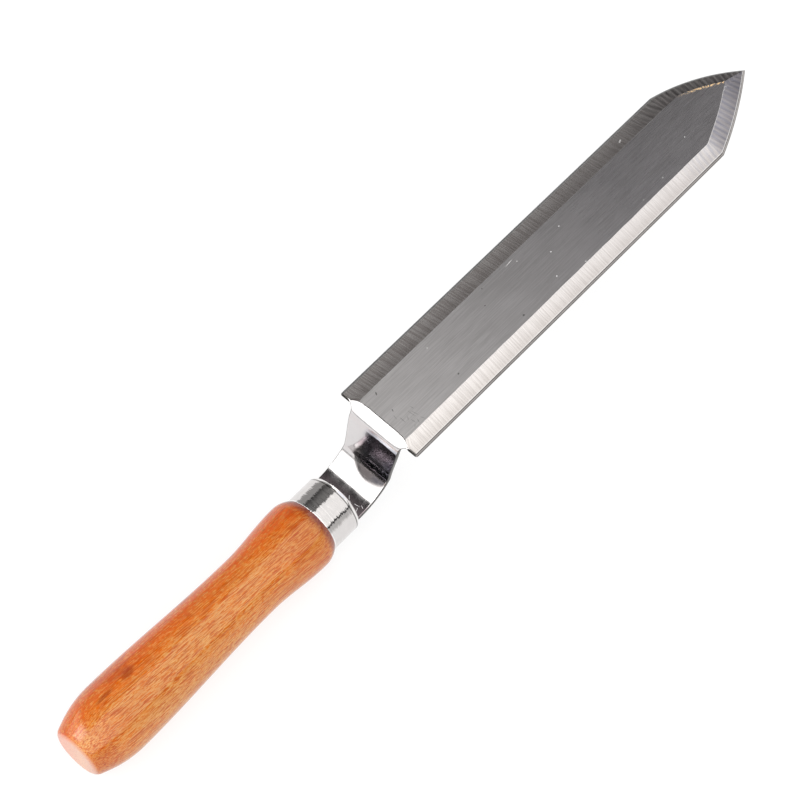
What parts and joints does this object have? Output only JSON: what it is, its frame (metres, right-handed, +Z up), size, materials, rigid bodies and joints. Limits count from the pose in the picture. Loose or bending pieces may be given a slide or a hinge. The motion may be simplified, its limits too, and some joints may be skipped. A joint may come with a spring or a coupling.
{
  "type": "uncapping knife",
  "caption": "Uncapping knife for honeycomb: a double-edged, spear-pointed stainless blade on a cranked neck, set in a turned wooden handle with a metal ferrule.",
  "frame": {"origin": "middle of the knife's length and width, at the level of the handle's underside", "axes": "+X from the handle's butt to the blade's tip, +Y across the blade, +Z up, out of the blade's ground comb face"},
  "size_m": [0.4, 0.04, 0.0531],
  "materials": {
    "blade_steel": "satin flat, cross-ground bevels, polished neck",
    "ferrule_plate": "bright plated",
    "handle_wood": "gloss varnish",
    "set_resin": "set resin"
  },
  "bodies": {
    "root": {"blade": "blade_steel", "ferrule": "ferrule_plate", "handle": "handle_wood", "tang_adhesive": "set_resin"}
  },
  "joints": []
}
